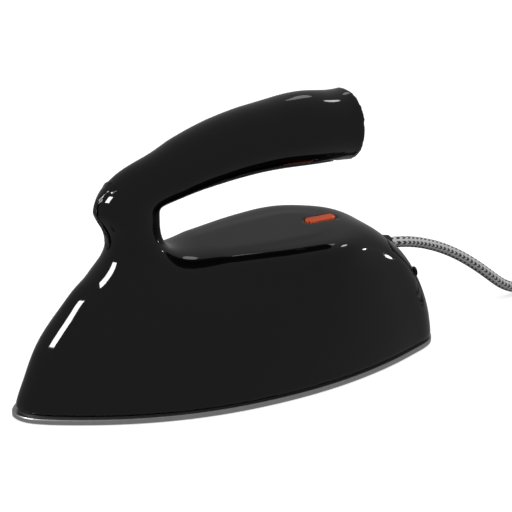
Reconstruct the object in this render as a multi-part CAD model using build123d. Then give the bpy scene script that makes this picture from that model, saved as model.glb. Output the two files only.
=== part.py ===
from build123d import *
import math
import os

# Clothes iron, in millimetres. +X points to the rear, +Y to the iron's right side, +Z up.
# The origin is on the floor under the middle of the soleplate. Lengthwise places are given
# from the nose tip and moved into the frame by at().

# ---- driving dimensions: soleplate and housing ----
LENGTH = 240.0
WIDTH = 104.0
DECK_HEIGHT = 72.5
WALL = 2.5
SOLE_RIM = 3.0
SKIRT_LINE = 1.0
SKIRT_INSET = 1.3
BOSS_HEIGHT = 8.0
BOSS_INSET = 12.0
FIT = 0.2
RUN = 0.05
FOOT = SOLE_RIM + SKIRT_LINE

# ---- handle and neck ----
HANDLE_TOP_RISE = 52.0
GRIP = 38.0
NECK_X = 67.5
HANDLE_END_X = 193.0
HANDLE_WALL = 2.5
GRIP_COVER_WIDTH = 22.0
TRIM_WIDTH = 7.0

# ---- lamp ----
LAMP_X = 178.7
LENS_LENGTH = 17.0
LENS_WIDTH = 6.0
BULB_DIAMETER = 5.0

# ---- thermostat and dial ----
DIAL_X = 208.0
DIAL_Z = 29.5
DIAL_THICK = 7.0
DIAL_RADIUS = 28.0
DIAL_TEETH = 60
SPINDLE_RADIUS = 2.0
SHAFT_RADIUS = 3.0
PIN_RADIUS = 1.5
PIN_TRAVEL = 0.525

# ---- cord ----
CORD_DIAMETER = 6.0
CORD_Z = 50.2
GUARD_LENGTH = 20.5
GUARD_MOUTH_X = 223.0
GUARD_RADIUS = 5.5
GUARD_TIP_RADIUS = 4.2
COIL_INNER, COIL_OUTER = 23.0, 46.0
COIL_LAYER = 6.1
COIL_CENTRE = (254.0, -4.0)

# ---- heating ----
ELEMENT_DIAMETER = 6.5
ELEMENT_Z = 10.0
ELEMENT_END_X = 192.0
ELEMENT_Y = 25.0
SHIELD_END_X = 154.0
SHIELD_TOP = 16.0
SHEET = 0.8

HALF_POINTS = 16
NOSE_SHARE = 0.14
NOSE_POWER = 2.25
NOSE_CAP = 48
TAIL_CAP = 33

# Level sections of the body: share of the way from foot to deck, nose setback and rear
# setback as shares of the length, half width as a share of the half width, widest place as a
# share of the length, width left at the tail, and how much the waist behind the neck pulls in.
LEVELS = (
    (0.000, 0.008, 0.002, 1.000, 0.563, 0.52, 0.00),
    (0.070, 0.013, 0.004, 0.995, 0.566, 0.52, 0.00),
    (0.175, 0.025, 0.009, 0.981, 0.571, 0.52, 0.00),
    (0.380, 0.049, 0.026, 0.940, 0.588, 0.51, 0.01),
    (0.584, 0.087, 0.055, 0.882, 0.613, 0.50, 0.03),
    (0.745, 0.127, 0.092, 0.818, 0.638, 0.49, 0.07),
    (0.854, 0.158, 0.128, 0.776, 0.658, 0.48, 0.12),
    (0.920, 0.188, 0.154, 0.744, 0.671, 0.47, 0.14),
    (0.963, 0.220, 0.180, 0.686, 0.679, 0.46, 0.16),
    (0.988, 0.262, 0.210, 0.560, 0.679, 0.46, 0.16),
    (1.000, 0.310, 0.258, 0.340, 0.667, 0.46, 0.14),
)
WAIST_X = 0.45
WAIST_SPREAD = 0.142

# ---- the rest of the named sizes ----
# Neck sections, level: height above the deck, middle from the neck's place, length and width.
NECK_LEVELS = (
    (-20.5, 0.0, 54.0, 42.0),
    (-9.5, 0.0, 49.0, 39.0),
    (0.5, 1.0, 38.0, 30.5),
    (10.0, 1.6, 30.2, 26.6),
    (20.5, -1.0, 31.0, 26.2),
    (30.0, -2.8, 35.4, 26.6),
    (36.5, -2.4, 34.0, 26.4),
    (41.5, 0.6, 26.0, 21.0),
    (44.0, 2.6, 13.0, 10.0),
)
# Handle sections, upright: place from the neck, height of the middle above the deck, lean,
# thickness and width as shares of the grip.
HANDLE_SECTIONS = (
    (-4.5, 35.0, 64.0, 0.58, 0.56),
    (8.0, 37.4, 65.0, 0.72, 0.74),
    (22.0, 41.2, 70.0, 0.74, 0.80),
    (39.5, 46.0, 78.0, 0.82, 0.87),
    (61.5, 49.9, 84.0, 0.90, 0.95),
    (84.5, 52.0, 89.0, 0.98, 1.03),
    (107.5, 51.8, 91.0, 1.025, 1.06),
    (127.5, 50.2, 92.0, 1.00, 1.045),
)
COVER_HALF = 25.0
COVER_Z0, COVER_Z1 = 9.0, 60.0
COVER_FRONT_X = 204.0
GRIP_COVER_X0, GRIP_COVER_X1 = 104.0, 184.0
TRIM_Z0, TRIM_Z1 = DECK_HEIGHT + 8.0, DECK_HEIGHT + 38.0
DIAL_GAP = 0.8
SCREW_RADIUS = 1.5
SCREW_HEAD_RADIUS = 2.8
SCREW_HEAD = 1.6
COVER_SCREW_Y = 20.5
COVER_SCREW_Z = 40.0
COVER_BOSS_X = 208.0
GRIP_SCREW_X = 172.0
PAD_Y, PAD_Z, PAD_RADIUS = 13.0, 15.0, 4.0
STUD_PLACES = ((62.0, 0.0), (174.0, -34.0), (174.0, 34.0))
STUD_RADIUS = 2.0
PILLAR_RADIUS = 4.5
PILLAR_FOOT = 18.0
STACK_X = DIAL_X - 22.0
STACK_HALF = 5.0
SPACER = 2.2
STRIP = 0.8
BLADE = 0.4
STRIP_Z = BOSS_HEIGHT + 1.2
LOWER_Z = STRIP_Z + STRIP + SPACER
UPPER_Z = LOWER_Z + BLADE + SPACER
STACK_TOP = UPPER_Z + BLADE + SPACER
GUIDE_Z = STACK_TOP + 1.0
ARM_Z = GUIDE_Z + 5.0
CONTACT_X = DIAL_X - 6.0
CONTACT = 0.7
WEB = 2.4
TRAY_X0, TRAY_X1 = 166.0, 198.6
TRAY_HALF = 27.0
TRAY_Z = DIAL_Z + DIAL_THICK / 2 + 4.0
TRAY_THICK = 1.6
TRAY_TOP = TRAY_Z + TRAY_THICK
BLOCK_X0, BLOCK_X1 = 171.0, 187.0
BLOCK_HEIGHT = 11.0
TERMINAL_Y = (-10.0, 0.0, 10.0)
TERMINAL_Z = TRAY_TOP + 4.0
CLAMP_X = 195.0
FUSE_Z = 30.0
EARTH_X = SHIELD_END_X + 4.5
GUARD_COLLAR_X = 206.0
GUARD_FLANGE_RADIUS = GUARD_RADIUS + 2.0
COVER_SCREW_FACE_X = 224.5
PAD_SEAT_X = 234.6
PAD_THICK = 2.8
TRIM_PROUD = 0.45
BEAD_RADIUS = 4.0
ELEMENT_PIN_RADIUS = 1.2
SHIELD_SCREW_X = (92.0, 140.0)
LENS_FLANGE_Z = DECK_HEIGHT - WALL - 1.5
BULB_Z = LENS_FLANGE_Z - 1.4 - BULB_DIAMETER / 2
# Route of the free cord, x from the nose tip: out of the guard, down to the floor, to the coil.
CORD_ROUTE = (
    (223.0, 0.0, 50.2), (232.0, 0.0, 49.2), (242.0, 0.0, 46.8), (252.0, 0.0, 43.2), (262.0, 0.0, 38.5),
    (272.5, 0.0, 32.3), (283.0, 0.0, 24.9), (293.0, 0.0, 16.9), (302.0, 0.3, 9.6), (312.0, 0.9, 4.6),
    (324.0, 4.5, 3.0), (336.0, 14.0, 3.0), (348.0, 26.5, 3.0), (360.0, 37.5, 3.0), (374.0, 42.0, 3.0),
)
CORD_TAIL = ((420.0, -4.0, 9.1), (419.5, -18.0, 9.1), (416.0, -32.0, 10.0), (409.0, -44.0, 11.8),
             (406.0, -54.0, 13.0))
PLUG_AT = (406.0, -54.0, 13.0)


def at(x):
    """Place in the frame of a point x behind the nose tip."""
    return x - LENGTH / 2


def block(x0, x1, y0, y1, z0, z1):
    """Box between two corners, x from the nose tip."""
    centre = (at((x0 + x1) / 2), (y0 + y1) / 2, (z0 + z1) / 2)
    return Pos(*centre) * Box(x1 - x0, y1 - y0, z1 - z0)


def post(x, y, z0, z1, radius):
    """Upright cylinder."""
    return Pos(at(x), y, (z0 + z1) / 2) * Cylinder(radius, z1 - z0)


def rod(x0, x1, y, z, radius):
    """Cylinder along X."""
    return Pos(at((x0 + x1) / 2), y, z) * Rot(0, 90, 0) * Cylinder(radius, x1 - x0)


def tube(points, radius, bend):
    """Round bar along straight runs joined by tangent arcs."""
    line = FilletPolyline(*points, radius=bend)
    start = Plane(origin=line @ 0, z_dir=line % 0)
    return sweep(start * Circle(radius), path=line)


def outline(z, nose, rear, half, widest, tail, waist=0.0):
    """Level outline: blunt nose, widest behind the middle, square tail with round corners."""
    points = []
    for i in range(HALF_POINTS + 1):
        x = nose + (rear - nose) * (0.5 - 0.5 * math.cos(math.pi * i / HALF_POINTS))
        if x <= widest:
            share = (widest - x) / (widest - nose)
            side = 1 - (1 - NOSE_SHARE) * share**NOSE_POWER
            cap = NOSE_CAP
        else:
            share = (x - widest) / (rear - widest)
            side = 1 - (1 - tail) * share**2
            cap = TAIL_CAP
        y = half * side * math.sqrt(max(0.0, 1 - share**cap))
        pull = math.exp(-(((x - WAIST_X * LENGTH) / (WAIST_SPREAD * LENGTH)) ** 2))
        points.append((at(x), -y * (1 - waist * pull), z))
    mirrored = [(x, -y, z) for x, y, z in points[-2:0:-1]]
    return Wire([Spline(*points, *mirrored, periodic=True).edge()])


def level(share, nose, rear, half, widest, tail, waist, inset=0.0, drop=0.0):
    """One section of the body, moved inwards by inset and down by drop."""
    return outline(
        FOOT + share * (DECK_HEIGHT - FOOT) - drop,
        nose * LENGTH + inset,
        LENGTH - rear * LENGTH - inset,
        half * WIDTH / 2 - inset,
        widest * LENGTH,
        tail,
        waist,
    )


def plate(inset, z0, z1):
    """Flat plate with the soleplate's outline, moved inwards."""
    wire = outline(z0, inset, LENGTH - inset, WIDTH / 2 - inset, LEVELS[0][4] * LENGTH, LEVELS[0][5])
    return extrude(Face(wire), z1 - z0, dir=(0, 0, 1))


def body_form(inset=0.0):
    """Outer form of the body, or the hollow inside it when inset is a wall thickness."""
    sections = [level(*row, inset=inset, drop=inset * row[0] ** 4) for row in LEVELS]
    form = Solid.make_loft(sections)
    if inset:
        foot = level(*LEVELS[0], inset=inset)
        form = form + extrude(Face(foot), FOOT, dir=(0, 0, -1))
    return form


def oval(x, z, lean, thick, wide):
    """Section of the neck or handle: lean is 0 for a level section, 90 for an upright one."""
    turn = math.radians(lean)
    plane = Plane(
        origin=(at(x), 0, z),
        x_dir=(math.cos(turn), 0, -math.sin(turn)),
        z_dir=(math.sin(turn), 0, math.cos(turn)),
    )
    return Wire([(plane * Ellipse(thick / 2, wide / 2)).edge()])


def neck_form(inset=0.0):
    """Neck, flared into the body and rounded over at the top."""
    rows = [
        (NECK_X + shift, DECK_HEIGHT + up * HANDLE_TOP_RISE / 52, 0, long - 2 * inset, wide - 2 * inset)
        for up, shift, long, wide in NECK_LEVELS
    ]
    if inset:
        rows = rows[:-4]
    return Solid.make_loft([oval(*row) for row in rows])


def handle_form(inset=0.0):
    """Handle grip, a lofted bar that thickens to its open end."""
    reach = (HANDLE_END_X - NECK_X) / 127.5
    rows = [
        (NECK_X + along * reach, DECK_HEIGHT + up * HANDLE_TOP_RISE / 52, lean,
         thick * GRIP - 2 * inset, wide * GRIP - 2 * inset)
        for along, up, lean, thick, wide in HANDLE_SECTIONS
    ]
    if inset:
        rows = rows[1:]
        x, z, lean, thick, wide = rows[-1]
        rows[-1] = (x - inset, z, lean, thick, wide)
    return Solid.make_loft([oval(*row) for row in rows])


def rounded_slot(x0, x1, half_width, z0, z1, corner):
    """Upright prism with rounded corners, long side along X."""
    face = RectangleRounded(x1 - x0, 2 * half_width, corner)
    return Pos(at((x0 + x1) / 2), 0, z0) * extrude(face, z1 - z0, dir=(0, 0, 1))


# ---- openings that cut the shell into its pieces ----


def cover_zone(gap=0.0):
    """Rounded window in the rear of the shell; gap shrinks it for the cover."""
    height = COVER_Z1 - COVER_Z0 - 2 * gap
    face = Plane.YZ * RectangleRounded(2 * (COVER_HALF - gap), height, 7.0 - gap)
    depth = LENGTH - COVER_FRONT_X + 10 - gap
    middle = (at(COVER_FRONT_X + gap), 0, (COVER_Z0 + COVER_Z1) / 2)
    return Pos(*middle) * extrude(face, depth, dir=(1, 0, 0))


def grip_cover_zone(gap=0.0):
    """Long window in the underside of the grip."""
    half = GRIP_COVER_WIDTH / 2 - gap
    return rounded_slot(GRIP_COVER_X0 + gap, GRIP_COVER_X1 - gap, half,
                        DECK_HEIGHT + 22, DECK_HEIGHT + 48, half - 0.5)


def trim_zone(gap=0.0):
    """Narrow upright window down the front of the neck."""
    half = TRIM_WIDTH / 2 - gap
    height = TRIM_Z1 - TRIM_Z0 - 2 * gap
    face = Plane.YZ * RectangleRounded(2 * half, height, half - 0.4)
    middle = (at(NECK_X - 40), 0, (TRIM_Z0 + TRIM_Z1) / 2)
    return Pos(*middle) * extrude(face, 36, dir=(1, 0, 0))


def make_shell():
    """Hollow shell of body, neck and handle, and its outer form."""
    outer = body_form() + neck_form() + handle_form()
    hollow = body_form(WALL) + neck_form(HANDLE_WALL) + handle_form(HANDLE_WALL)
    return outer, outer - hollow


def grip_screw_post(outer):
    """Boss inside the grip that the under-cover's screw bites into."""
    low = DECK_HEIGHT + 36.0
    boss = post(GRIP_SCREW_X, 0, low, DECK_HEIGHT + 70, 4.0) & outer
    return boss - post(GRIP_SCREW_X, 0, low - 1, low + 12, SCREW_RADIUS)


def make_housing(outer, shell):
    """Shell with its windows cut, and the pillars, bosses and ribs moulded inside it."""
    inside = body_form(WALL / 2)
    ribs = [post(x, y, PILLAR_FOOT, DECK_HEIGHT + 2, PILLAR_RADIUS) for x, y in STUD_PLACES]
    front_x = STUD_PLACES[0][0]
    ribs.append(block(front_x - 40, front_x, -WEB / 2, WEB / 2, PILLAR_FOOT, DECK_HEIGHT - 20))
    for side in (-1, 1):
        ribs.append(rod(COVER_BOSS_X, COVER_BOSS_X + 9, side * COVER_SCREW_Y, COVER_SCREW_Z, 3.6))
        low, high = sorted((side * COVER_SCREW_Y, side * WIDTH / 2))
        ribs.append(block(COVER_BOSS_X, COVER_BOSS_X + 8, low, high,
                          COVER_SCREW_Z - WEB / 2, COVER_SCREW_Z + WEB / 2))
        low, high = sorted((side * TRAY_HALF * 0.85, side * WIDTH / 2))
        ribs.append(block(TRAY_X0 + 6, TRAY_X0 + 12, low, high, TRAY_Z - WEB, TRAY_Z))
    ribs = [rib & inside for rib in ribs]
    drills = [cover_zone(), grip_cover_zone(), trim_zone()]
    drills += [post(x, y, 0, PILLAR_FOOT + 18, STUD_RADIUS + RUN) for x, y in STUD_PLACES]
    drills += [rod(COVER_BOSS_X - 1, COVER_BOSS_X + 40, side * COVER_SCREW_Y, COVER_SCREW_Z,
                   SCREW_RADIUS + RUN) for side in (-1, 1)]
    half_long, half_wide = LENS_LENGTH / 2 + FIT / 2, LENS_WIDTH / 2 + FIT / 2
    drills.append(rounded_slot(LAMP_X - half_long, LAMP_X + half_long, half_wide,
                               DECK_HEIGHT - 8, DECK_HEIGHT + 5, half_wide - 0.6))
    housing = shell.fuse(*[solid for rib in ribs for solid in rib.solids()])
    housing = housing - drills
    return housing + grip_screw_post(outer)


def make_grip_cover(shell):
    cover = shell & grip_cover_zone(FIT)
    hole = post(GRIP_SCREW_X, 0, DECK_HEIGHT + 20, DECK_HEIGHT + 60, SCREW_RADIUS + FIT)
    sink = post(GRIP_SCREW_X, 0, DECK_HEIGHT + 20, grip_face() + SCREW_HEAD, SCREW_HEAD_RADIUS + FIT)
    return cover - hole - sink


def grip_face():
    """Height of the grip's underside where its cover screw goes in."""
    shares = HANDLE_SECTIONS[-2]
    rise = shares[1] * HANDLE_TOP_RISE / 52
    return DECK_HEIGHT + rise - shares[3] * GRIP / 2


def screw(length, head_radius=SCREW_HEAD_RADIUS):
    """Pan-head screw with a cross slot, tip at +Z, head's underside at z 0."""
    head = Pos(0, 0, -SCREW_HEAD / 2) * Cylinder(head_radius, SCREW_HEAD)
    slots = [Pos(0, 0, -SCREW_HEAD) * Rot(0, 0, turn) * Box(head_radius * 1.2, 0.6, 1.2) for turn in (0, 90)]
    shank = Pos(0, 0, length / 2) * Cylinder(SCREW_RADIUS, length)
    return (head - slots) + shank


def make_rear_cover(shell):
    """Rear cover with the cord guard's bearing, the dial's slot and two screw holes."""
    cover = shell & cover_zone(FIT)
    cover = cover + (rod(GUARD_COLLAR_X, GUARD_COLLAR_X + 9, 0, CORD_Z, GUARD_RADIUS + 3)
                     & body_form(WALL / 2))
    cover = cover - rod(GUARD_COLLAR_X - 5, LENGTH + 5, 0, CORD_Z, GUARD_RADIUS + RUN)
    cover = cover - rod(COVER_FRONT_X, GUARD_COLLAR_X, 0, CORD_Z, GUARD_FLANGE_RADIUS + DIAL_GAP / 2)
    slot_half = DIAL_THICK / 2 + DIAL_GAP
    cover = cover - post(DIAL_X, 0, DIAL_Z - slot_half, DIAL_Z + slot_half, DIAL_RADIUS + DIAL_GAP)
    for side in (-1, 1):
        cover = cover - rod(COVER_FRONT_X, LENGTH + 5, side * COVER_SCREW_Y, COVER_SCREW_Z,
                            SCREW_RADIUS + FIT)
        cover = cover - rod(COVER_SCREW_FACE_X, LENGTH + 5, side * COVER_SCREW_Y, COVER_SCREW_Z,
                            SCREW_HEAD_RADIUS + FIT)
        cover = cover - rod(PAD_SEAT_X, LENGTH + 5, side * PAD_Y, PAD_Z, PAD_RADIUS + RUN)
    return cover


def make_cover_screws():
    length = COVER_SCREW_FACE_X - COVER_BOSS_X - 1
    one = screw(length)
    return Compound([Pos(at(COVER_SCREW_FACE_X), side * COVER_SCREW_Y, COVER_SCREW_Z) * Rot(0, -90, 0) * one
                     for side in (-1, 1)])


def make_heel_pads():
    pads = []
    for side in (-1, 1):
        pad = rod(PAD_SEAT_X, PAD_SEAT_X + PAD_THICK, side * PAD_Y, PAD_Z, PAD_RADIUS)
        pads.append(fillet(pad.edges().group_by(Axis.X)[-1], 0.8))
    return Compound(pads)


def make_trim(shell, outer):
    """Slim strip down the front of the neck, standing a little proud of it."""
    strip = trim_zone(FIT)
    proud = (outer.moved(Location((-TRIM_PROUD, 0, 0))) & strip) - outer
    return (shell & strip) + proud


# ---- soleplate and what stands on it ----


def element_line(z):
    """U of the heating element: two legs and a narrow turn at the nose."""
    knee_x, nose_x, nose = 0.50 * LENGTH, 0.19 * LENGTH, 8.5
    return [(at(ELEMENT_END_X), -ELEMENT_Y, z), (at(knee_x), -ELEMENT_Y, z), (at(nose_x), -nose, z),
            (at(nose_x), nose, z), (at(knee_x), ELEMENT_Y, z), (at(ELEMENT_END_X), ELEMENT_Y, z)]


def element_bar(radius):
    return tube(element_line(ELEMENT_Z), radius, [60.0, 7.5, 7.5, 60.0])


def make_soleplate():
    rim = plate(0.0, 0.0, SOLE_RIM)
    rim = chamfer(rim.edges().group_by(Axis.Z)[0], 0.7)
    rim = chamfer(rim.edges().group_by(Axis.Z)[-1], 0.4)
    boss = plate(BOSS_INSET, SOLE_RIM, BOSS_HEIGHT)
    sole = rim + boss
    for x, y in STUD_PLACES:
        sole = sole + post(x, y, SOLE_RIM, PILLAR_FOOT, PILLAR_RADIUS)
        sole = sole - post(x, y, SOLE_RIM, PILLAR_FOOT + 1, STUD_RADIUS)
    sole = sole - element_bar(ELEMENT_DIAMETER / 2 + RUN)
    for side in (-1, 1):
        sole = sole - rod(ELEMENT_END_X - 1, ELEMENT_END_X + 8, side * ELEMENT_Y, ELEMENT_Z,
                          BEAD_RADIUS + FIT)
    return sole


def ring(row, outer_inset, inner_inset, z0, z1):
    """Upright band that follows a body section, between two insets."""
    bands = []
    for inset, extra in ((outer_inset, 0.0), (inner_inset, 1.0)):
        wire = level(*row, inset=inset)
        lift = z0 - extra - (FOOT + row[0] * (DECK_HEIGHT - FOOT))
        face = Face(wire).moved(Location((0, 0, lift)))
        bands.append(extrude(face, z1 - z0 + 2 * extra, dir=(0, 0, 1)))
    return bands[0] - bands[1]


def make_skirt():
    """Heat-resistant ring: a flange under the housing's rim and a wall inside it."""
    flange = ring(LEVELS[0], SKIRT_INSET, BOSS_INSET - 2.0, SOLE_RIM, FOOT)
    inset = WALL + 1.2
    return flange + ring(LEVELS[2], inset, inset + 2.0, FOOT, FOOT + 9.0)


def make_studs():
    return Compound([post(x, y, SOLE_RIM, PILLAR_FOOT + 16, STUD_RADIUS) for x, y in STUD_PLACES])


def make_element():
    return element_bar(ELEMENT_DIAMETER / 2)


def make_beads():
    beads = []
    for side in (-1, 1):
        bead = rod(ELEMENT_END_X, ELEMENT_END_X + 6, side * ELEMENT_Y, ELEMENT_Z, BEAD_RADIUS)
        bore = rod(ELEMENT_END_X - 1, ELEMENT_END_X + 7, side * ELEMENT_Y, ELEMENT_Z, ELEMENT_PIN_RADIUS)
        beads.append(bead - bore)
    return Compound(beads)


def make_element_pins():
    pins = []
    for side in (-1, 1):
        pin = rod(ELEMENT_END_X, ELEMENT_END_X + 10, side * ELEMENT_Y, ELEMENT_Z, ELEMENT_PIN_RADIUS)
        tab = block(ELEMENT_END_X + 9, ELEMENT_END_X + 17, side * ELEMENT_Y - 3.15, side * ELEMENT_Y + 3.15,
                    ELEMENT_Z - SHEET / 2, ELEMENT_Z + SHEET / 2)
        pins.append(pin + tab)
    return Compound(pins)


def make_heat_shield():
    """Sheet steel pan over the element, open below."""
    front = block(0, SHIELD_END_X, -WIDTH / 2, WIDTH / 2, 0, SHIELD_TOP + 5)
    inner = block(0, SHIELD_END_X - SHEET, -WIDTH / 2, WIDTH / 2, 0, SHIELD_TOP + 5)
    outside = plate(BOSS_INSET + 2.0, BOSS_HEIGHT, SHIELD_TOP) & front
    inside = plate(BOSS_INSET + 2.0 + SHEET, BOSS_HEIGHT - 1, SHIELD_TOP - SHEET) & inner
    shield = outside - inside
    x, y = STUD_PLACES[0]
    shield = shield - post(x, y, BOSS_HEIGHT - 1, SHIELD_TOP + 1, PILLAR_RADIUS + FIT)
    for side in (-1, 1):
        shield = shield - rod(SHIELD_END_X - 6, SHIELD_END_X + 2, side * ELEMENT_Y, ELEMENT_Z,
                              ELEMENT_DIAMETER / 2 + 1.6)
    for x in SHIELD_SCREW_X:
        shield = shield - post(x, 0, SHIELD_TOP - 3, SHIELD_TOP + 1, SCREW_RADIUS + FIT)
    return shield


def make_shield_posts():
    """Two turned posts on the soleplate that the shield is screwed to."""
    return Compound([post(x, 0, BOSS_HEIGHT, SHIELD_TOP - SHEET, 3.0)
                     - post(x, 0, SHIELD_TOP - SHEET - 5, SHIELD_TOP, SCREW_RADIUS) for x in SHIELD_SCREW_X])


def make_shield_screws():
    return Compound([Pos(at(x), 0, SHIELD_TOP) * Rot(180, 0, 0) * screw(5.0) for x in SHIELD_SCREW_X])


# ---- thermostat, stacked at its fixed end and free under the spindle ----


def make_thermostat_bracket():
    """Foot, post and two arms: the lower guides the pin, the upper is threaded for the spindle."""
    foot = block(STACK_X - 8, STACK_X + 6, -6, 6, BOSS_HEIGHT, STRIP_Z)
    wall = block(STACK_X - 8, STACK_X - 6.4, -6, 6, BOSS_HEIGHT, ARM_Z + 1.5)
    guide = block(STACK_X - 8, DIAL_X + 5, -6, 6, GUIDE_Z, GUIDE_Z + 1.2)
    arm = block(STACK_X - 8, DIAL_X + 6, -6, 6, ARM_Z, ARM_Z + 1.5)
    bracket = foot + wall + guide + arm
    bracket = bracket - post(DIAL_X, 0, ARM_Z - 1, ARM_Z + 3, SPINDLE_RADIUS + RUN)
    bracket = bracket - post(DIAL_X, 0, GUIDE_Z - 1, GUIDE_Z + 2, PIN_RADIUS + RUN)
    return bracket - stack_bore(BOSS_HEIGHT - 1, ARM_Z + 3)


def stack_bore(z0, z1):
    return post(STACK_X, 0, z0, z1, SCREW_RADIUS + RUN)


def strip_solid(x1, half_width, z, thick):
    strip = block(STACK_X - STACK_HALF, x1, -half_width, half_width, z, z + thick)
    return strip - stack_bore(z - 1, z + thick + 1)


def make_bimetal_strip():
    return strip_solid(DIAL_X + 4, 4.0, STRIP_Z, STRIP)


def make_lower_blade():
    return strip_solid(CONTACT_X + 3, 3.0, LOWER_Z, BLADE)


def make_upper_blade():
    return strip_solid(DIAL_X + 5, 3.0, UPPER_Z, BLADE)


def make_spacers():
    spacers = []
    for z in (STRIP_Z + STRIP, LOWER_Z + BLADE, UPPER_Z + BLADE):
        ring = Pos(at(STACK_X), 0, z + SPACER / 2) * Box(2 * STACK_HALF, 9, SPACER)
        spacers.append(ring - stack_bore(z - 1, z + SPACER + 1))
    return Compound(spacers)


def make_contacts():
    low = post(CONTACT_X, 0, LOWER_Z + BLADE, LOWER_Z + BLADE + CONTACT, 1.8)
    high = post(CONTACT_X, 0, UPPER_Z - CONTACT, UPPER_Z, 1.8)
    return Compound([low, high])


def make_stack_screw():
    return Pos(at(STACK_X), 0, GUIDE_Z - 0.4) * Rot(180, 0, 0) * post_screw(GUIDE_Z - 0.4 - BOSS_HEIGHT - 0.4)


def post_screw(length):
    """Screw through the stack: a thin flat head, so that it clears the guide arm."""
    return Pos(0, 0, -0.2) * Cylinder(2.4, 0.4) + Pos(0, 0, length / 2) * Cylinder(SCREW_RADIUS, length)


def make_push_pin():
    """Ceramic pin between the spindle's tip and the upper blade, with room for its travel."""
    low = UPPER_Z + BLADE + PIN_TRAVEL + 0.1
    return post(DIAL_X, 0, low, ARM_Z - 1.4, PIN_RADIUS)


def make_spindle():
    tip = post(DIAL_X, 0, ARM_Z - 1.3, ARM_Z + 2.5, SPINDLE_RADIUS)
    return tip + post(DIAL_X, 0, ARM_Z + 2.5, DIAL_Z + DIAL_THICK / 2 + 1.2, SHAFT_RADIUS)


def make_dial():
    """Thumbwheel with a milled rim, recessed faces and a hub on the spindle's shaft."""
    points = []
    for i in range(2 * DIAL_TEETH):
        radius = DIAL_RADIUS if i % 2 else DIAL_RADIUS - 0.7
        turn = math.pi * i / DIAL_TEETH
        points.append((radius * math.cos(turn), radius * math.sin(turn)))
    wheel = extrude(make_face(Polyline(*points, close=True)), DIAL_THICK / 2, both=True)
    ring = Cylinder(DIAL_RADIUS - 4, 2.2) - Cylinder(SHAFT_RADIUS + 4, 2.2)
    wheel = wheel - [Pos(0, 0, side * (DIAL_THICK / 2 - 1.1)) * ring for side in (-1, 1)]
    wheel = wheel - Cylinder(SHAFT_RADIUS + 0.01, DIAL_THICK + 1)
    wheel = wheel - [Rot(0, 0, 60 * k + 30) * Pos(0.6 * DIAL_RADIUS, 0, 0) * Cylinder(4.0, DIAL_THICK)
                     for k in range(6)]
    return Pos(at(DIAL_X), 0, DIAL_Z) * wheel


# ---- electrical tray over the dial ----


def make_tray():
    tray = block(TRAY_X0, TRAY_X1, -TRAY_HALF, TRAY_HALF, TRAY_Z, TRAY_Z + TRAY_THICK)
    for x in (TRAY_X0 + 9,):
        for side in (-1, 1):
            tray = tray - post(x, side * TRAY_HALF * 0.93, TRAY_Z - 1, TRAY_Z + 3, 0.9)
    return fillet(tray.edges().filter_by(Axis.Z).group_by(Axis.X)[0], 3.0)


def make_terminal_block():
    base = block(BLOCK_X0, BLOCK_X1, -15, 15, TRAY_TOP, TRAY_TOP + BLOCK_HEIGHT)
    for y in TERMINAL_Y:
        base = base - rod(BLOCK_X0 - 1, BLOCK_X1 + 1, y, TERMINAL_Z, 2.0)
        base = base - post((BLOCK_X0 + BLOCK_X1) / 2, y, TERMINAL_Z, TRAY_TOP + BLOCK_HEIGHT + 1, 2.2)
    return base


def make_terminal_screws():
    middle = (BLOCK_X0 + BLOCK_X1) / 2
    screws = []
    for y in TERMINAL_Y:
        barrel = post(middle, y, TERMINAL_Z + 1.4, TRAY_TOP + BLOCK_HEIGHT - 0.6, 2.1)
        slot = block(middle - 2.2, middle + 2.2, y - 0.4, y + 0.4,
                     TRAY_TOP + BLOCK_HEIGHT - 1.6, TRAY_TOP + BLOCK_HEIGHT)
        screws.append(barrel - slot)
    return Compound(screws)


def make_cord_clamp():
    """Bridge that grips the cord's sheath, held by two screws."""
    bar = block(CLAMP_X - 3, CLAMP_X + 3, -10, 10, TRAY_TOP, CORD_Z + CORD_DIAMETER / 2 + 2.5)
    bar = bar - rod(CLAMP_X - 4, CLAMP_X + 4, 0, CORD_Z, CORD_DIAMETER / 2)
    for side in (-1, 1):
        bar = bar - post(CLAMP_X, side * 6.8, TRAY_TOP - 1, CORD_Z + 9, SCREW_RADIUS)
    return bar


def make_clamp_screws():
    top = CORD_Z + CORD_DIAMETER / 2 + 2.5
    return Compound([Pos(at(CLAMP_X), side * 6.8, top) * Rot(180, 0, 0) * screw(top - TRAY_TOP, 2.2)
                     for side in (-1, 1)])


def make_inner_cord():
    """End of the cord's sheath, from the clamp through the guard."""
    return rod(CLAMP_X - 5, GUARD_MOUTH_X, 0, CORD_Z, CORD_DIAMETER / 2)


def make_cord_guard():
    """Turning guard: a flange inside the cover's collar and a tapered nose outside."""
    tail_x = GUARD_MOUTH_X - GUARD_LENGTH
    nose_x = GUARD_MOUTH_X - 6.0
    flange = rod(tail_x, GUARD_COLLAR_X - 0.3, 0, CORD_Z, GUARD_FLANGE_RADIUS)
    barrel = rod(tail_x, nose_x, 0, CORD_Z, GUARD_RADIUS)
    nose = Pos(at((nose_x + GUARD_MOUTH_X) / 2), 0, CORD_Z) * Rot(0, 90, 0) * Cone(
        GUARD_RADIUS, GUARD_TIP_RADIUS, GUARD_MOUTH_X - nose_x)
    return flange + barrel + nose - rod(tail_x - 1, GUARD_MOUTH_X + 1, 0, CORD_Z, CORD_DIAMETER / 2 + RUN)


# ---- lamp ----


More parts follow.
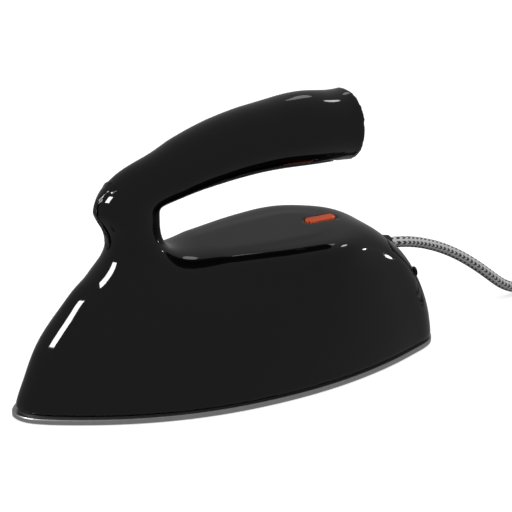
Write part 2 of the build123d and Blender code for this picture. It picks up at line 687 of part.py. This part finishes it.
def make_lens():
    """Amber lens: a bar through the deck with a flange under it."""
    half_long, half_wide = LENS_LENGTH / 2, LENS_WIDTH / 2
    top = DECK_HEIGHT + 0.5
    bar = rounded_slot(LAMP_X - half_long, LAMP_X + half_long, half_wide, LENS_FLANGE_Z, top, half_wide - 0.7)
    bar = fillet(bar.edges().group_by(Axis.Z)[-1], 0.5)
    flange = rounded_slot(LAMP_X - half_long - 2, LAMP_X + half_long + 2, half_wide + 1.6,
                          LENS_FLANGE_Z - 1.0, LENS_FLANGE_Z, 2.0)
    return bar + flange


def make_bulb():
    bulb = rod(LAMP_X - 6, LAMP_X + 5, 0, BULB_Z, BULB_DIAMETER / 2)
    return bulb + Pos(at(LAMP_X + 5), 0, BULB_Z) * Sphere(BULB_DIAMETER / 2)


def make_bulb_leads():
    """Two wires that hold the bulb over its resistor and come back to the block."""
    leads = []
    for side in (-1, 1):
        y = side * 1.2
        points = [(at(LAMP_X - 6), y, BULB_Z), (at(LAMP_X - 13), y, BULB_Z),
                  (at(LAMP_X - 13), y * 3, BULB_Z - 8),
                  (at(BLOCK_X0 - 3), side * 10, TERMINAL_Z + 1.55),
                  (at(BLOCK_X0 + 2), side * 10, TERMINAL_Z + 1.55)]
        leads.append(tube(points, 0.4, 1.2))
    return Compound(leads)


def make_resistor():
    return rod(LAMP_X - 16, LAMP_X - 10, 8.0, BULB_Z - 6, 1.3)


# ---- wires ----


def wire_to(points, radius=1.1, bend=3.0):
    return tube([(at(x), y, z) for x, y, z in points], radius, bend)


def make_live_wire():
    """From the block, through the thermal fuse, to the thermostat's lower blade."""
    return wire_to([(BLOCK_X0 - 0.2, -10, TERMINAL_Z), (BLOCK_X0 - 8, -10, TERMINAL_Z),
                    (BLOCK_X0 - 8, -10, FUSE_Z + 7)])


def make_switched_wire():
    """From the thermal fuse to the element's left pin."""
    low = BOSS_HEIGHT + 5
    return wire_to([(BLOCK_X0 - 8, -10, FUSE_Z - 7), (BLOCK_X0 - 8, -10, low + 2),
                    (BLOCK_X0 - 2, -17, low + 2),
                    (ELEMENT_END_X + 4, -17.5, low + 1), (ELEMENT_END_X + 13, -20.0, ELEMENT_Z + 2.2)])


def make_neutral_wire():
    low = BOSS_HEIGHT + 5
    return wire_to([(BLOCK_X0 - 0.2, 10, TERMINAL_Z), (BLOCK_X0 - 8, 10, TERMINAL_Z),
                    (BLOCK_X0 - 8, 12, low + 2), (BLOCK_X0 - 2, 17, low + 2),
                    (ELEMENT_END_X + 4, 17.5, low + 1), (ELEMENT_END_X + 13, 20.0, ELEMENT_Z + 2.2)])


def make_earth_wire():
    return wire_to([(BLOCK_X0 - 0.2, 0, TERMINAL_Z), (EARTH_X, 0, TERMINAL_Z),
                    (EARTH_X, 0, BOSS_HEIGHT + 2.4)])


def make_earth_screw():
    return Pos(at(EARTH_X), 0, BOSS_HEIGHT) * (Pos(0, 0, 0.5) * Cylinder(4.0, 1.0)
                                                      + Pos(0, 0, 1.7) * Cylinder(2.6, 1.4))


def make_thermal_fuse():
    return post(BLOCK_X0 - 8, -10, FUSE_Z - 7, FUSE_Z + 7, 2.2)


def cord_tube(route):
    """Plain tube along straight runs joined by the largest arcs that the runs allow."""
    points = [Vector(at(x), y, z) for x, y, z in route]
    radii = []
    for before, here, after in zip(points, points[1:], points[2:]):
        first, second = here - before, after - here
        half_turn = math.radians(first.get_angle(second)) / 2
        radii.append(0.45 * min(first.length, second.length) / math.tan(half_turn))
    print("cord arc radii", [round(radius) for radius in radii])
    line = FilletPolyline(*points, radius=radii)
    solid = sweep(Plane(origin=line @ 0, z_dir=line % 0) * Circle(CORD_DIAMETER / 2), path=line)
    wanted = math.pi * (CORD_DIAMETER / 2) ** 2 * line.length
    print("cord tube volume over section times length", round(solid.volume / wanted, 4), round(line.length))
    return solid


def make_coil():
    """Outer shape of the wound spare length: a flat ring, wider in its lower layer."""
    x, y = COIL_CENTRE
    low, high = COIL_INNER - CORD_DIAMETER / 2, COIL_OUTER + CORD_DIAMETER / 2
    height = CORD_DIAMETER + COIL_LAYER
    ring = Cylinder(high, height) - Cylinder(low, height)
    ring = fillet(ring.edges().group_by(Axis.Z)[-1], 2.8)
    return Pos(x, y, height / 2) * ring


def make_tie():
    """Twist tie round the coil."""
    x, y = COIL_CENTRE
    height = CORD_DIAMETER + COIL_LAYER
    low, high = COIL_INNER - CORD_DIAMETER / 2, COIL_OUTER + CORD_DIAMETER / 2
    middle, half = (low + high) / 2, (high - low) / 2
    over = Pos(x, y - middle, height + 0.5) * Box(5.0, 2 * half + 1.0, 1.0)
    return over


def make_plug():
    """Moulded plug body, its cord entry facing back along the tail."""
    x, y, z = PLUG_AT
    body = Pos(at(x), y - 20, z) * Box(34, 40, 26)
    body = fillet(body.edges().filter_by(Axis.Y), 7.0)
    body = fillet(body.edges().group_by(Axis.Y)[-1], 5.0)
    return body


def make_plug_pins():
    x, y, z = PLUG_AT
    return Compound([Pos(at(x) + side * 9.5, y - 40 - 9.5, z) * Rot(90, 0, 0) * Cylinder(2.4, 19)
                     for side in (-1, 1)])


def main():
    os.makedirs("parts", exist_ok=True)
    outer, shell = make_shell()
    nodes = {
        "housing": make_housing(outer, shell),
        "handle_under_cover": make_grip_cover(shell),
        "under_cover_screw": Pos(at(GRIP_SCREW_X), 0, grip_face() + SCREW_HEAD) * screw(12.0),
        "neck_front_trim": make_trim(shell, outer),
        "rear_cover": make_rear_cover(shell),
        "rear_cover_screws": make_cover_screws(),
        "heel_pads": make_heel_pads(),
        "lamp_lens": make_lens(),
        "lamp_bulb": make_bulb(),
        "lamp_leads": make_bulb_leads(),
        "lamp_resistor": make_resistor(),
        "skirt": make_skirt(),
        "soleplate": make_soleplate(),
        "housing_studs": make_studs(),
        "heating_element": make_element(),
        "element_beads": make_beads(),
        "element_pins": make_element_pins(),
        "heat_shield": make_heat_shield(),
        "shield_posts": make_shield_posts(),
        "shield_screws": make_shield_screws(),
        "thermostat_bracket": make_thermostat_bracket(),
        "bimetal_strip": make_bimetal_strip(),
        "contact_blade_lower": make_lower_blade(),
        "contact_blade_upper": make_upper_blade(),
        "contact_rivets": make_contacts(),
        "ceramic_spacers": make_spacers(),
        "stack_screw": make_stack_screw(),
        "push_pin": make_push_pin(),
        "dial_spindle": make_spindle(),
        "temperature_dial": make_dial(),
        "terminal_tray": make_tray(),
        "terminal_block": make_terminal_block(),
        "terminal_screws": make_terminal_screws(),
        "cord_clamp": make_cord_clamp(),
        "clamp_screws": make_clamp_screws(),
        "live_wire": make_live_wire(),
        "switched_wire": make_switched_wire(),
        "neutral_wire": make_neutral_wire(),
        "earth_wire": make_earth_wire(),
        "earth_screw": make_earth_screw(),
        "thermal_fuse": make_thermal_fuse(),
        "inner_cord": make_inner_cord(),
        "cord_guard": make_cord_guard(),
        "cord_tube": cord_tube(CORD_ROUTE),
        "cord_tail": cord_tube(CORD_TAIL),
        "cord_coil": make_coil(),
        "cord_tie": make_tie(),
        "plug_body": make_plug(),
        "plug_pins": make_plug_pins(),
    }
    for name, solid in nodes.items():
        export_step(solid, f"parts/{name}.step")


main()
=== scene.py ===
"""Looks of the clothes iron: glossy black shell, braided cord, studio light and camera."""
import math

import bmesh
import bpy
import numpy as np
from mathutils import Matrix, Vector
from mathutils.bvhtree import BVHTree

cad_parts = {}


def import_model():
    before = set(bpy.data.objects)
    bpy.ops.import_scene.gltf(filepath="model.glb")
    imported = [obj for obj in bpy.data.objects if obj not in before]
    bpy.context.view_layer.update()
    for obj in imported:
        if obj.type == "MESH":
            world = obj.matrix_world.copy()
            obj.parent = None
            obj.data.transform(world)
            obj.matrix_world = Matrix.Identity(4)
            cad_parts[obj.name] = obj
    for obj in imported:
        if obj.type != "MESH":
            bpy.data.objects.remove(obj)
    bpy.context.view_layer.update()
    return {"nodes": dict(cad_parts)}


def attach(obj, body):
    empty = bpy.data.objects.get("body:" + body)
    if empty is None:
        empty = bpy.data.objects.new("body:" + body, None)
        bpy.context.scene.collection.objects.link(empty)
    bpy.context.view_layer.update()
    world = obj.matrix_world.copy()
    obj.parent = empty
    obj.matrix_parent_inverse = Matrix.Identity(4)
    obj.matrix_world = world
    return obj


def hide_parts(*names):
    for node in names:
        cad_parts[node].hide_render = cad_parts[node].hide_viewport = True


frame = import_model()
nodes = frame["nodes"]

MM = 0.001

# ---- cord ----
HALF_LENGTH = 0.120  # nose to the frame's origin
CORD_DIAMETER = 0.006
CORD_LENGTH = 1.8
# Millimetres from the nose, the iron's middle line and the table.
CORD_ROUTE = (
    (223.0, 0.0, 50.2), (232.0, 0.0, 49.2), (242.0, 0.0, 46.8), (252.0, 0.0, 43.2), (262.0, 0.0, 38.5),
    (272.5, 0.0, 32.3), (283.0, 0.0, 24.9), (293.0, 0.0, 16.9), (302.0, 0.3, 9.6), (312.0, 0.9, 4.6),
    (324.0, 4.5, 3.0), (336.0, 14.0, 3.0), (348.0, 26.5, 3.0), (360.0, 37.5, 3.0), (374.0, 42.0, 3.0),
)
CORD_TAIL = ((420.0, -4.0, 9.1), (419.5, -18.0, 9.1), (416.0, -32.0, 10.0), (409.0, -44.0, 11.8),
             (406.0, -54.0, 13.0))
COIL_CENTRE = (0.254, -0.004)
COIL_RADIUS = 0.046
COIL_TURNS = 7.25
LAYER_HEIGHT = 0.0061
STEPS_PER_TURN = 24


def world(points):
    return [Vector((x * MM - HALF_LENGTH, y * MM, z * MM)) for x, y, z in points]


def run_length(points):
    return sum((b - a).length for a, b in zip(points, points[1:]))


def coil_points(spare):
    """Two flat layers of turns, wound in and out again clockwise, that take up the spare length."""
    climb = 0.25
    layer = (COIL_TURNS - climb) / 2
    inner = (spare / (2 * math.pi) - layer * COIL_RADIUS) / (layer + climb)
    pitch = (COIL_RADIUS - inner) / layer
    made = []
    count = round(COIL_TURNS * STEPS_PER_TURN)
    for i in range(1, count):
        turn = i / STEPS_PER_TURN
        angle = math.pi / 2 - 2 * math.pi * turn
        wound_in = min(turn, layer)
        wound_out = max(0.0, turn - layer - climb)
        radius = COIL_RADIUS - pitch * wound_in + pitch * wound_out
        up = min(1.0, max(0.0, (turn - layer) / climb))
        height = CORD_DIAMETER / 2 + LAYER_HEIGHT * up * up * (3 - 2 * up)
        made.append(Vector((COIL_CENTRE[0] + radius * math.cos(angle),
                            COIL_CENTRE[1] + radius * math.sin(angle), height)))
    return made


def tube_along(name, points, diameter, resolution=6):
    data = bpy.data.curves.new(name, "CURVE")
    data.dimensions = "3D"
    data.bevel_depth = 1.0  # the points' own radius sets the thickness, so the object's box fits it
    data.bevel_resolution = 6
    data.resolution_u = resolution
    spline = data.splines.new("NURBS")
    spline.points.add(len(points) - 1)
    for point, place in zip(spline.points, points):
        point.co = (*place, 1.0)
        point.radius = diameter / 2
    spline.order_u = 3
    spline.use_endpoint_u = True
    made = bpy.data.objects.new(name, data)
    bpy.context.scene.collection.objects.link(made)
    return made


route, tail = world(CORD_ROUTE), world(CORD_TAIL)
spare = CORD_LENGTH - run_length(route) - run_length(tail)
cord = tube_along("mains_cord", route + coil_points(spare) + tail, CORD_DIAMETER)
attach(cord, "iron")
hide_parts("cord_tube", "cord_coil", "cord_tail")


# ---- materials ----
def new_material(name):
    made = bpy.data.materials.new(name)
    made.use_nodes = True
    tree = made.node_tree
    return made, tree, tree.nodes["Principled BSDF"]


def link(tree, out, into):
    tree.links.new(out, into)


def textured(name, colour, roughness, metallic=0.0, ior=1.5, variation=0.05, bump=0.0, size=400.0, coat=0.0,
             specular=0.5):
    """Plain finish with slight procedural change of colour and roughness and a fine bump."""
    made, tree, shader = new_material(name)
    shader.inputs["Metallic"].default_value = metallic
    shader.inputs["IOR"].default_value = ior
    shader.inputs["Specular IOR Level"].default_value = specular
    shader.inputs["Coat Weight"].default_value = coat
    place = tree.nodes.new("ShaderNodeTexCoord")
    noise = tree.nodes.new("ShaderNodeTexNoise")
    noise.inputs["Scale"].default_value = size
    noise.inputs["Detail"].default_value = 4.0
    link(tree, place.outputs["Object"], noise.inputs["Vector"])
    shade = tree.nodes.new("ShaderNodeMapRange")
    shade.inputs["To Min"].default_value = max(0.0, roughness - variation)
    shade.inputs["To Max"].default_value = min(1.0, roughness + variation)
    link(tree, noise.outputs["Fac"], shade.inputs["Value"])
    link(tree, shade.outputs["Result"], shader.inputs["Roughness"])
    mix = tree.nodes.new("ShaderNodeMix")
    mix.data_type = "RGBA"
    mix.inputs["A"].default_value = (*[c * 0.88 for c in colour], 1)
    mix.inputs["B"].default_value = (*[min(1.0, c * 1.12) for c in colour], 1)
    link(tree, noise.outputs["Fac"], mix.inputs["Factor"])
    link(tree, mix.outputs["Result"], shader.inputs["Base Color"])
    if bump:
        relief = tree.nodes.new("ShaderNodeBump")
        relief.inputs["Strength"].default_value = 0.3
        relief.inputs["Distance"].default_value = bump
        link(tree, noise.outputs["Fac"], relief.inputs["Height"])
        link(tree, relief.outputs["Normal"], shader.inputs["Normal"])
    return made


def math_node(tree, operation, a, b=None):
    node = tree.nodes.new("ShaderNodeMath")
    node.operation = operation
    for socket, value in zip(node.inputs, (a, b)):
        if value is None:
            continue
        if isinstance(value, (int, float)):
            socket.default_value = value
        else:
            link(tree, value, socket)
    return node.outputs["Value"]


def braid():
    """Light grey braid with six rows of black chevrons that point away from the iron."""
    made, tree, shader = new_material("cord_braid_look")
    place = tree.nodes.new("ShaderNodeTexCoord")
    parts = tree.nodes.new("ShaderNodeSeparateXYZ")
    link(tree, place.outputs["UV"], parts.inputs["Vector"])
    along = math_node(tree, "MULTIPLY", parts.outputs["X"], CORD_LENGTH / 0.00245)
    around = math_node(tree, "MULTIPLY", parts.outputs["Y"], 6.0)
    across = math_node(tree, "ABSOLUTE", math_node(tree, "SUBTRACT", math_node(tree, "FRACT", around), 0.5))
    arrow = math_node(tree, "FRACT", math_node(tree, "ADD", along, math_node(tree, "MULTIPLY", across, 1.1)))
    dark = math_node(tree, "MULTIPLY", math_node(tree, "LESS_THAN", arrow, 0.52),
                     math_node(tree, "LESS_THAN", across, 0.31))
    strands = math_node(tree, "SINE", math_node(tree, "MULTIPLY",
                        math_node(tree, "ADD", math_node(tree, "MULTIPLY", along, 4.0), across), 6.2832 * 2))
    mix = tree.nodes.new("ShaderNodeMix")
    mix.data_type = "RGBA"
    mix.inputs["A"].default_value = (0.52, 0.52, 0.53, 1)
    mix.inputs["B"].default_value = (0.008, 0.008, 0.009, 1)
    link(tree, dark, mix.inputs["Factor"])
    link(tree, mix.outputs["Result"], shader.inputs["Base Color"])
    shader.inputs["Roughness"].default_value = 0.75
    shader.inputs["Sheen Weight"].default_value = 0.15
    relief = tree.nodes.new("ShaderNodeBump")
    relief.inputs["Strength"].default_value = 0.5
    relief.inputs["Distance"].default_value = 0.0003
    link(tree, strands, relief.inputs["Height"])
    link(tree, relief.outputs["Normal"], shader.inputs["Normal"])
    return made


def painted_glow_red_lens():
    """Clear red plastic with fine ribs across it, with a painted glow: the lens gives off a faint light of its own,
    and its ribs are painted in dark red and bright orange stripes as painted glints.
    """
    made, tree, shader = new_material("painted_glow_red_lens_look")
    shader.inputs["Base Color"].default_value = (0.85, 0.075, 0.02, 1)
    shader.inputs["Roughness"].default_value = 0.12
    shader.inputs["IOR"].default_value = 1.55
    # Painted glow: the lens itself gives off a faint red-orange light, as if the indicator behind it were lit.
    shader.inputs["Emission Color"].default_value = (0.9, 0.07, 0.01, 1)
    shader.inputs["Emission Strength"].default_value = 0.12
    place = tree.nodes.new("ShaderNodeTexCoord")
    wave = tree.nodes.new("ShaderNodeTexWave")
    wave.inputs["Scale"].default_value = 260.0
    wave.inputs["Distortion"].default_value = 0.6
    link(tree, place.outputs["Object"], wave.inputs["Vector"])
    # Painted glints: along the ribs the colour and the glow both run from dark red to bright orange.
    mix = tree.nodes.new("ShaderNodeMix")
    mix.data_type = "RGBA"
    mix.inputs["A"].default_value = (0.42, 0.006, 0.001, 1)
    mix.inputs["B"].default_value = (1.0, 0.16, 0.03, 1)
    link(tree, wave.outputs["Fac"], mix.inputs["Factor"])
    link(tree, mix.outputs["Result"], shader.inputs["Base Color"])
    link(tree, mix.outputs["Result"], shader.inputs["Emission Color"])
    relief = tree.nodes.new("ShaderNodeBump")
    relief.inputs["Strength"].default_value = 0.6
    relief.inputs["Distance"].default_value = 0.0004
    link(tree, wave.outputs["Fac"], relief.inputs["Height"])
    link(tree, relief.outputs["Normal"], shader.inputs["Normal"])
    return made


gloss_black = textured("gloss_black", (0.0012, 0.0012, 0.0013), 0.05, variation=0.012, size=180)
satin_black = textured("satin_black", (0.006, 0.006, 0.006), 0.35, bump=0.00005)
inner_black = textured("inner_black", (0.012, 0.012, 0.012), 0.55, bump=0.00008)
rubber_black = textured("rubber_black", (0.009, 0.009, 0.009), 0.62, bump=0.00006)
brushed_aluminium = textured("brushed_aluminium", (0.55, 0.55, 0.56), 0.3, metallic=1.0, size=300)
plated_steel = textured("plated_steel", (0.55, 0.55, 0.56), 0.3, metallic=1.0, bump=0.00003)
dark_steel = textured("dark_steel", (0.03, 0.03, 0.032), 0.3, metallic=1.0)
blued_strip = textured("blued_strip", (0.42, 0.4, 0.37), 0.34, metallic=1.0)
brass = textured("brass", (0.72, 0.5, 0.2), 0.28, metallic=1.0, bump=0.00003)
ceramic = textured("ceramic", (0.78, 0.76, 0.71), 0.4, bump=0.00005)
element_sheath = textured("element_sheath", (0.2, 0.19, 0.18), 0.45, metallic=1.0, bump=0.00006)
glass = textured("lamp_glass", (0.85, 0.6, 0.5), 0.05, coat=0.3)
live_brown = textured("wire_brown", (0.13, 0.045, 0.018), 0.45)
neutral_blue = textured("wire_blue", (0.02, 0.06, 0.4), 0.45)
earth_green = textured("wire_green_yellow", (0.1, 0.3, 0.03), 0.45)
resistor_tan = textured("resistor_tan", (0.5, 0.37, 0.2), 0.5)
cord_look = braid()
# The red lens has a painted glow and painted glints along its ribs.
lens_painted_glow_look = painted_glow_red_lens()

LOOKS = {
    "handle_under_cover": satin_black, "neck_front_trim": gloss_black, "rear_cover": gloss_black,
    "under_cover_screw": plated_steel, "rear_cover_screws": dark_steel, "heel_pads": rubber_black,
    "lamp_lens": lens_painted_glow_look, "lamp_bulb": glass, "lamp_leads": plated_steel, "lamp_resistor": resistor_tan,
    "skirt": inner_black, "soleplate": brushed_aluminium, "housing_studs": plated_steel,
    "heating_element": element_sheath, "element_beads": ceramic, "element_pins": plated_steel,
    "heat_shield": plated_steel, "shield_posts": plated_steel, "shield_screws": plated_steel,
    "thermostat_bracket": plated_steel, "bimetal_strip": blued_strip, "contact_blade_lower": brass,
    "contact_blade_upper": brass, "contact_rivets": plated_steel, "ceramic_spacers": ceramic,
    "stack_screw": plated_steel, "push_pin": ceramic, "dial_spindle": plated_steel,
    "temperature_dial": satin_black, "terminal_tray": inner_black, "terminal_block": ceramic,
    "terminal_screws": brass, "cord_clamp": inner_black, "clamp_screws": plated_steel,
    "live_wire": live_brown, "switched_wire": live_brown, "neutral_wire": neutral_blue,
    "earth_wire": earth_green, "earth_screw": plated_steel, "thermal_fuse": plated_steel,
    "inner_cord": cord_look, "cord_guard": rubber_black, "cord_tube": cord_look, "cord_tail": cord_look,
    "cord_coil": cord_look, "cord_tie": satin_black, "plug_body": satin_black, "plug_pins": brass,
    "housing": gloss_black,
}


def put_on(piece, look):
    piece.data.materials.clear()
    piece.data.materials.append(look)


for name, node in nodes.items():
    put_on(node, LOOKS[name])
    if node.type == "MESH":
        node.data.shade_smooth()
        node.data.set_sharp_from_angle(angle=math.radians(35))
put_on(cord, cord_look)


# ---- shell skin: the moulded shell with its neck run smoothly into the body ----
def make_skin():
    both = bmesh.new()
    both.from_mesh(nodes["housing"].data)
    both.from_mesh(nodes["neck_front_trim"].data)
    joined = bpy.data.meshes.new("housing_skin")
    both.to_mesh(joined)
    both.free()
    skin = bpy.data.objects.new("housing_skin", joined)
    bpy.context.scene.collection.objects.link(skin)
    remesh = skin.modifiers.new("even", "REMESH")
    remesh.mode = "VOXEL"
    remesh.voxel_size = 0.0012
    graph = bpy.context.evaluated_depsgraph_get()
    even = bpy.data.meshes.new_from_object(skin.evaluated_get(graph), depsgraph=graph)
    skin.modifiers.clear()
    skin.data = even
    count = len(even.vertices)
    places = np.empty(count * 3)
    even.vertices.foreach_get("co", places)
    places = places.reshape(-1, 3)
    pairs = np.empty(len(even.edges) * 2, int)
    even.edges.foreach_get("vertices", pairs)
    pairs = pairs.reshape(-1, 2)
    ends = np.concatenate([pairs[:, 0], pairs[:, 1]])
    others = np.concatenate([pairs[:, 1], pairs[:, 0]])
    degree = np.maximum(np.bincount(ends, minlength=count), 1)[:, None]

    def relaxed(points):
        return np.stack([np.bincount(ends, weights=points[others, axis], minlength=count)
                         for axis in range(3)], axis=1) / degree

    def ramp(value, low, high):
        t = np.clip((value - low) / (high - low), 0, 1)
        return t * t * (3 - 2 * t)

    x, y, z = places.T
    neck_foot = ramp(z, 0.055, 0.068) * (1 - ramp(z, 0.082, 0.094)) * (1 - ramp(x, -0.022, -0.008))
    neck_foot *= 0.12 + 0.88 * ramp(x, -0.078, -0.060)
    knuckle = ramp(z, 0.098, 0.108) * (1 - ramp(x, -0.040, -0.026)) * 0.8
    grip_end = ramp(z, 0.122, 0.130) * ramp(x, 0.010, 0.030) * (1 - ramp(x, 0.062, 0.070)) * 0.6
    near = np.maximum(np.maximum(neck_foot, knuckle), grip_end)[:, None]
    for _ in range(8):
        places += 0.5 * (relaxed(places) - places)
        places -= 0.52 * (relaxed(places) - places)
    for _ in range(160):
        places += 0.6 * near * (relaxed(places) - places)
    for _ in range(3):
        places += 0.5 * (relaxed(places) - places)
    even.vertices.foreach_set("co", places.ravel())
    even.update()
    even.shade_smooth()
    return skin


def make_trim_strip():
    """The neck's trim, laid on the skin and standing a little proud of it."""
    mesh = nodes["neck_front_trim"].data.copy()
    strip = bpy.data.objects.new("neck_trim_strip", mesh)
    bpy.context.scene.collection.objects.link(strip)
    surface = BVHTree.FromObject(skin, bpy.context.evaluated_depsgraph_get())
    for vertex in mesh.vertices:
        place, normal, _, _ = surface.find_nearest(vertex.co + Vector((-0.004, 0, 0)))
        outside = vertex.normal.dot(normal) > 0.4
        vertex.co = place + normal * (TRIM_PROUD if outside else -TRIM_SUNK)
    mesh.update()
    mesh.shade_smooth()
    return strip


TRIM_PROUD = 0.0005
TRIM_SUNK = 0.0012
skin = make_skin()
bpy.context.view_layer.update()
strip = make_trim_strip()
put_on(strip, gloss_black)
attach(strip, "iron")
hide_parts("neck_front_trim")
put_on(skin, gloss_black)
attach(skin, "iron")
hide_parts("housing")

for name in ("plug_body", "plug_pins"):
    nodes[name].visible_glossy = False  # the end that is put away stays out of the shell's reflections

# ---- floor, light and camera ----
floor_data = bpy.data.meshes.new("floor")
SIDE = 6.0
floor_data.from_pydata([(-SIDE, -SIDE, 0), (SIDE, -SIDE, 0), (SIDE, SIDE, 0), (-SIDE, SIDE, 0)], [], [(0, 1, 2, 3)])
floor = bpy.data.objects.new("floor", floor_data)
floor.location.z = -0.0003
bpy.context.scene.collection.objects.link(floor)


def floor_look():
    """Plain pale floor: white to the eye with a faint contact shadow, mid grey in the shell's reflections."""
    made = bpy.data.materials.new("floor_look")
    made.use_nodes = True
    tree = made.node_tree
    tree.nodes.clear()
    paint = tree.nodes.new("ShaderNodeBsdfDiffuse")
    paint.inputs["Color"].default_value = (0.42, 0.42, 0.42, 1)
    lift = tree.nodes.new("ShaderNodeEmission")
    lift.inputs["Color"].default_value = (1, 1, 1, 1)
    lift.inputs["Strength"].default_value = FLOOR_LIFT
    pale = tree.nodes.new("ShaderNodeAddShader")
    grey = tree.nodes.new("ShaderNodeEmission")
    grey.inputs["Color"].default_value = (1, 1, 1, 1)
    grey.inputs["Strength"].default_value = STUDIO_GREY
    path = tree.nodes.new("ShaderNodeLightPath")
    chosen = tree.nodes.new("ShaderNodeMixShader")
    out = tree.nodes.new("ShaderNodeOutputMaterial")
    link(tree, paint.outputs["BSDF"], pale.inputs[0])
    link(tree, lift.outputs["Emission"], pale.inputs[1])
    link(tree, path.outputs["Is Camera Ray"], chosen.inputs["Fac"])
    link(tree, grey.outputs["Emission"], chosen.inputs[1])
    link(tree, pale.outputs["Shader"], chosen.inputs[2])
    link(tree, chosen.outputs["Shader"], out.inputs["Surface"])
    return made


STUDIO_GREY = 0.265
FLOOR_LIFT = 0.70
put_on(floor, floor_look())


def soft_lamp(name, place, aim, width, height, power, shape="RECTANGLE"):
    data = bpy.data.lights.new(name, "AREA")
    data.shape = shape
    data.size, data.size_y = width, height
    data.energy = power
    made = bpy.data.objects.new(name, data)
    made.location = place
    made.rotation_mode = "QUATERNION"
    made.rotation_quaternion = (Vector(aim) - Vector(place)).to_track_quat("-Z", "Y")
    bpy.context.scene.collection.objects.link(made)
    return made


def highlight_lamp(name, towards, aim, width, height, brightness, shape="RECTANGLE"):
    """Softbox seen only in reflections, in the direction given from the iron."""
    place = Vector(towards).normalized() * LAMP_DISTANCE + Vector(aim)
    area = width * height * (math.pi / 4 if shape in ("DISK", "ELLIPSE") else 1.0)
    made = soft_lamp(name, place, aim, width, height, brightness * math.pi * area, shape)
    made.visible_diffuse = False
    return made


LAMP_DISTANCE = 1.6
highlight_lamp("left_strip", (-0.80, -0.10, 0.58), (-0.09, 0, 0.05), 0.50, 0.56, 26.0)
highlight_lamp("right_round", (0.974, -0.14, 0.18), (0.074, -0.031, 0.06), 0.08, 0.08, 30.0, "DISK")
highlight_lamp("right_upper", (0.68, 0.23, 0.69), (0.053, -0.01, 0.14), 0.18, 0.18, 8.0, "DISK")
highlight_lamp("far_soft", (0.50, 0.54, 0.67), (-0.026, -0.012, 0.072), 0.30, 0.30, 1.6, "DISK")
fill = soft_lamp("overhead_fill", (-0.3, -0.6, 2.2), (0, 0, 0), 2.4, 2.4, 75.0)
fill.visible_glossy = False

surroundings = bpy.data.worlds.new("studio")
surroundings.use_nodes = True
surroundings.node_tree.nodes["Background"].inputs["Color"].default_value = (1, 1, 1, 1)
surroundings.node_tree.nodes["Background"].inputs["Strength"].default_value = STUDIO_GREY
bpy.context.scene.world = surroundings

CAMERA_AT = Vector((-0.4636, -0.8030, 0.4346))
AIM = Vector((0.0, 0.0, 0.060))
camera_data = bpy.data.cameras.new("camera")
camera_data.lens = 136.93
camera_data.sensor_width = 36.0
camera_data.shift_x, camera_data.shift_y = 0.0637, 0.0105
camera_data.clip_start, camera_data.clip_end = 0.05, 20
camera = bpy.data.objects.new("camera", camera_data)
camera.location = CAMERA_AT
camera.rotation_mode = "QUATERNION"
camera.rotation_quaternion = (AIM - CAMERA_AT).to_track_quat("-Z", "Y")
bpy.context.scene.collection.objects.link(camera)
bpy.context.scene.camera = camera
bpy.context.scene.view_settings.view_transform = "Standard"
